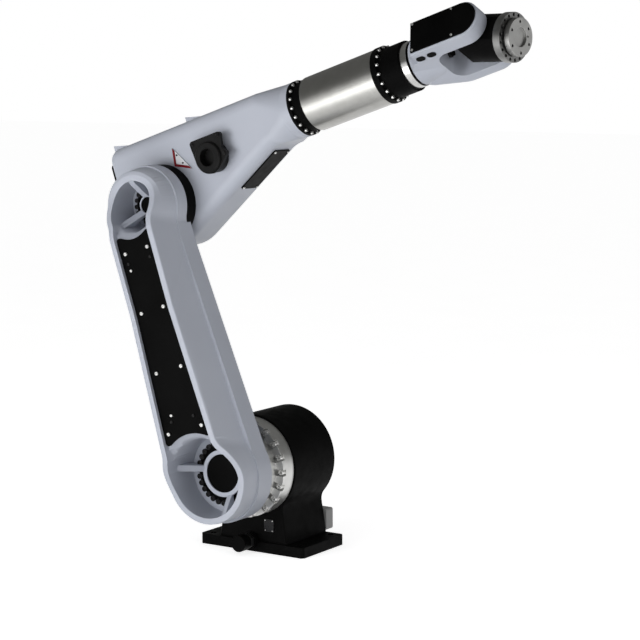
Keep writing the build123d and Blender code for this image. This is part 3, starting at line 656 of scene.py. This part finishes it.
# %% Screws on the near side of the elbow housing
motor_ears = ((0.176, 0.122), (0.268, 0.122), (0.274, 0.068))
ear_front = 0.212
ear_head = (0.0046, 0.004)
pointer_spots = ((0.0907, 0.1164), (0.1045, 0.0897))
pointer_front = 0.179
pointer_head = (0.0026, 0.002)


def housing_spot(along, above, depth):
    """A point on the elbow housing, from the elbow and the forearm's directions."""
    return elbow + along * fore + above * fore_up + depth * near


for plate_name, plate_spots, plate_front, plate_head in (
    ("motor_ear_screws", motor_ears, ear_front, ear_head),
    ("pointer_screws", pointer_spots, pointer_front, pointer_head),
):
    plate_places = [stand(housing_spot(*spot, plate_front), near) for spot in plate_spots]
    screws(plate_name, "forearm_body", plate_places, plate_head, "black_cover")

# %% [markdown]
# Two more covers close the housing: one on the sloping belly, one on the rear end. Each has a screw at
# every corner. The belly slopes away from the forearm by a fixed angle, so its two directions are worked
# out from that angle. On the far side a round cap closes the elbow's axis with a ring of six.

# %% Screws on the housing's covers
forearm_side = 0.097
belly_turn = radians(24.7)
heel_radius = 0.127
belly_middle = 0.2875
belly_thick = 0.004
belly_halves = (0.0735, 0.032)
belly_head = (0.0036, 0.003)
rear_face = -0.161
rear_middle = 0.130
rear_halves = (0.056, 0.020)
rear_head = (0.004, 0.003)
far_cap_face = 0.011
far_cap_circle = 0.072
far_cap_count = 6
far_cap_turn = 30
far_cap_head = (0.005, 0.004)

belly_along = cos(belly_turn) * fore + sin(belly_turn) * fore_up
belly_out = sin(belly_turn) * fore - cos(belly_turn) * fore_up
belly_reach = (heel_radius + belly_thick) * belly_out
belly_centre = housing_spot(0, 0, forearm_side) + belly_reach + belly_middle * belly_along
screws(
    "belly_cover_screws", "forearm_body",
    corner_places(belly_centre, belly_out, belly_along, belly_halves[0], near, belly_halves[1]), belly_head,
)
rear_centre = housing_spot(rear_face, rear_middle, forearm_side)
screws(
    "rear_cover_screws", "forearm_body",
    corner_places(rear_centre, -fore, near, rear_halves[0], fore_up, rear_halves[1]), rear_head,
)
far_cap_centre = housing_spot(0, 0, far_cap_face)
screws(
    "far_cap_screws", "forearm_body",
    ring_places(far_cap_centre, -near, fore, far_cap_circle, far_cap_count, far_cap_turn),
    far_cap_head, "black_cover",
)

# %% [markdown]
# The fork's near cover is held at its corners by four small bright screws. The round cover on the far
# tine has four. Eighteen black screws stand in the counterbores of the wrist's gear ring. Two hexagon
# nuts hold the cable glands in the crotch of the fork. A nut needs no new shape: the screw's drum with
# six sides is a prism with a softened rim.

# %% Screws and nuts on the fork and the wrist
tine_face = 0.108
cover_middle = -0.086
near_cover_halves = (0.061, 0.0405)
near_cover_head = (0.0034, 0.0025)
far_cover_circle = 0.019
far_cover_count = 4
far_cover_turn = 45
far_cover_head = (0.0032, 0.0025)
ring_seat = 0.0935
ring_circle = 0.058
ring_screw_count = 18
ring_head = (0.0038, 0.007)
crotch_back = 0.112
gland_half_gap = 0.012
crotch_nut = dict(sides=6, radius=0.0112, height=0.006, rim=0.0008)

near_cover_centre = wrist - tine_face * fork_across + cover_middle * fore
screws(
    "near_cover_screws", "fork_body",
    corner_places(near_cover_centre, -fork_across, fore, near_cover_halves[0], fork_up, near_cover_halves[1]),
    near_cover_head,
)
far_cover_centre = wrist + tine_face * fork_across
screws(
    "far_cover_screws", "fork_body",
    ring_places(far_cover_centre, fork_across, fore, far_cover_circle, far_cover_count, far_cover_turn),
    far_cover_head,
)
screws(
    "wrist_ring_screws", "wrist_body_group",
    ring_places(wrist + ring_seat * tool, tool, fork_across, ring_circle, ring_screw_count),
    ring_head, "black_cover",
)
crotch = wrist - crotch_back * fore
nut_places = [stand(crotch + side * gland_half_gap * fork_across, fore) for side in (-1, 1)]
keep_piece(copies(drum(**crotch_nut), nut_places), "crotch_gland_nuts", "fork_body", "black_cover")

# %% [markdown]
# The foot's small parts are fixed the same way: the bare plate by four rivets, the connection box by its
# lid screws, the drum's rear cover by eight screws. The gland at the front gets a hexagon nut against its
# collar. A rivet's head is the same drum again, low and with twelve sides, since nothing finer would show.

# %% Fittings on the foot
sign_centre = Vector((0.058, -0.101, 0.080))
sign_halves = (0.0125, 0.0145)
rivet = dict(sides=12, radius=0.0016, height=0.0012, rim=0.0005)
box_centre = Vector((0.061, 0.150, 0.0635))
box_halves = (0.044, 0.021)
box_head = (0.0035, 0.0025)
drum_back = 0.121
drum_circle = 0.113
drum_screw_count = 8
drum_turn = 22.5
drum_head = (0.006, 0.005)
gland_centre = Vector((0, -0.1215, 0.033))
foot_nut = dict(sides=6, radius=0.0235, height=0.012, rim=0.0015)

rivet_places = corner_places(sign_centre, near, right, sign_halves[0], up, sign_halves[1])
keep_piece(copies(drum(**rivet), rivet_places), "sign_rivets", "base", "gear_steel")
box_places = corner_places(box_centre, -near, right, box_halves[0], up, box_halves[1])
screws("box_lid_screws", "base", box_places, box_head, "black_cover")
drum_centre = shoulder - drum_back * near
screws(
    "drum_cover_screws", "base",
    ring_places(drum_centre, -near, right, drum_circle, drum_screw_count, drum_turn),
    drum_head, "black_cover",
)
keep_piece(copies(drum(**foot_nut), [stand(gland_centre, near)]), "gland_nut", "base", "black_cover")

# %% [markdown]
# The studio is a wide pale floor, a pale world and soft lamps. A floor lit to pure white would need so
# much light that the paint burns out. So the floor also glows, but only for the rays that see it: from
# the camera, from mirrors and through glass. It still keeps the arm's shadow.

# %% Floor
floor_half = 30.0
floor_squares = 4
floor_glow = 0.71
floor_dark = grey(0.86)
floor_light = grey(0.88)
floor_cloud_size = 0.33
floor_rough = 0.9
floor_gloss = 0.1
white = (1, 1, 1, 1)

floor_bm = bmesh.new()
bmesh.ops.create_grid(floor_bm, x_segments=floor_squares, y_segments=floor_squares, size=floor_half)
floor_mesh = bpy.data.meshes.new("floor")
floor_bm.to_mesh(floor_mesh)
floor_bm.free()
floor = bpy.data.objects.new("floor", floor_mesh)
show(floor)


def seen_directly(tree):
    """1 for camera, mirror and glass rays, 0 for the light that the surface gives off."""
    path = add_node(tree, "LightPath", {}).outputs
    seen = path["Is Camera Ray"]
    for ray in ("Is Glossy Ray", "Is Transmission Ray"):
        seen = add_node(tree, "Math", {0: seen, 1: path[ray]}, operation="MAXIMUM").outputs[0]
    return seen


floor_finish, floor_tree, floor_shader = new_finish("studio_floor")
floor_cloud = noise(floor_tree, object_place(floor_tree), floor_cloud_size, patch_detail)
floor_tone = shade_between(floor_tree, floor_cloud, floor_dark, floor_light)
floor_tree.links.new(floor_tone, floor_shader.inputs["Base Color"])
floor_shader.inputs["Roughness"].default_value = floor_rough
floor_shader.inputs["Specular IOR Level"].default_value = floor_gloss
floor_shader.inputs["Emission Color"].default_value = white
glow = add_node(floor_tree, "Math", {0: seen_directly(floor_tree), 1: floor_glow}, operation="MULTIPLY")
floor_tree.links.new(glow.outputs[0], floor_shader.inputs["Emission Strength"])
floor.data.materials.append(floor_finish)
print("floor laid at z = 0")

# %% [markdown]
# Bare metal shows the room it stands in. In an all-white room the tube would have no dark side at all.
# Here the room is white low down and dim from a little above the horizon, so the tube gets a dark upper
# side and a light lower side. Painted surfaces get the same soft light from all sides, and the camera
# sees plain white.

# %% World
ambient = 0.32
dim_room = (0.16, 0.16, 0.155)
dim_starts = 0.0
dim_is_full = 0.13

world = bpy.data.worlds.new("studio")
bpy.context.scene.world = world
world.use_nodes = True
world_tree = world.node_tree
world_out = world_tree.nodes["World Output"]
fill_light = world_tree.nodes["Background"]
fill_light.inputs["Color"].default_value = white
fill_light.inputs["Strength"].default_value = ambient
white_wall = add_node(world_tree, "Background", {"Color": white, "Strength": 1.0})
direction = add_node(world_tree, "TexCoord", {}).outputs["Generated"]
height = add_node(world_tree, "SeparateXYZ", {"Vector": direction}).outputs["Z"]
room = shade_between(world_tree, height, white[:3], dim_room, dim_starts, dim_is_full)
mirror_room = add_node(world_tree, "Background", {"Color": room, "Strength": 1.0})

path = add_node(world_tree, "LightPath", {}).outputs
seen = fill_light.outputs[0]
for ray, view in (("Glossy", mirror_room), ("Transmission", white_wall), ("Camera", white_wall)):
    shares = {0: path[f"Is {ray} Ray"], 1: seen, 2: view.outputs[0]}
    seen = add_node(world_tree, "MixShader", shares).outputs[0]
world_tree.links.new(seen, world_out.inputs["Surface"])
print("world set, ambient light", ambient)

# %% [markdown]
# The key light is a large panel low in front, on the left. A weaker one stands on the right and fills the
# sides. Mirror rays miss these two, so that they don't burn white patches into bare metal. A third panel,
# low in front of the foot, lights the undersides as a white floor under studio lamps would.

# %% Lamps
arm_middle = (0.2, -0.1, 0.9)
arm_front = (0.3, -0.4, 1.2)
left_in_front = (-1.5, -4.3, 0.1)
right_of_arm = (4.5, -0.3, 0.9)
before_the_foot = (0.2, -1.8, 0.05)


def soft_lamp(name, place, target, size, watts, mirrored):
    """A square soft box that the camera doesn't see. Mirror rays see it if mirrored is true."""
    lamp_data = bpy.data.lights.new(name, "AREA")
    lamp_data.size = size
    lamp_data.energy = watts
    lamp = bpy.data.objects.new(name, lamp_data)
    lamp.location = place
    aim = Vector(target) - Vector(place)
    lamp.rotation_euler = aim.to_track_quat("-Z", "Y").to_euler()
    lamp.visible_camera = False
    lamp.visible_glossy = mirrored
    show(lamp)
    print(name, watts, "W")


soft_lamp("front_panel", left_in_front, arm_middle, size=2.5, watts=145, mirrored=False)
soft_lamp("right_panel", right_of_arm, arm_middle, size=2.0, watts=40, mirrored=False)
soft_lamp("floor_bounce", before_the_foot, arm_front, size=2.0, watts=30, mirrored=True)

# %% [markdown]
# Last comes the colour setting. The Standard view shows a colour as it is written, where the default one
# would flatten it.

# %% View setting
import json

bpy.context.scene.view_settings.view_transform = "Standard"
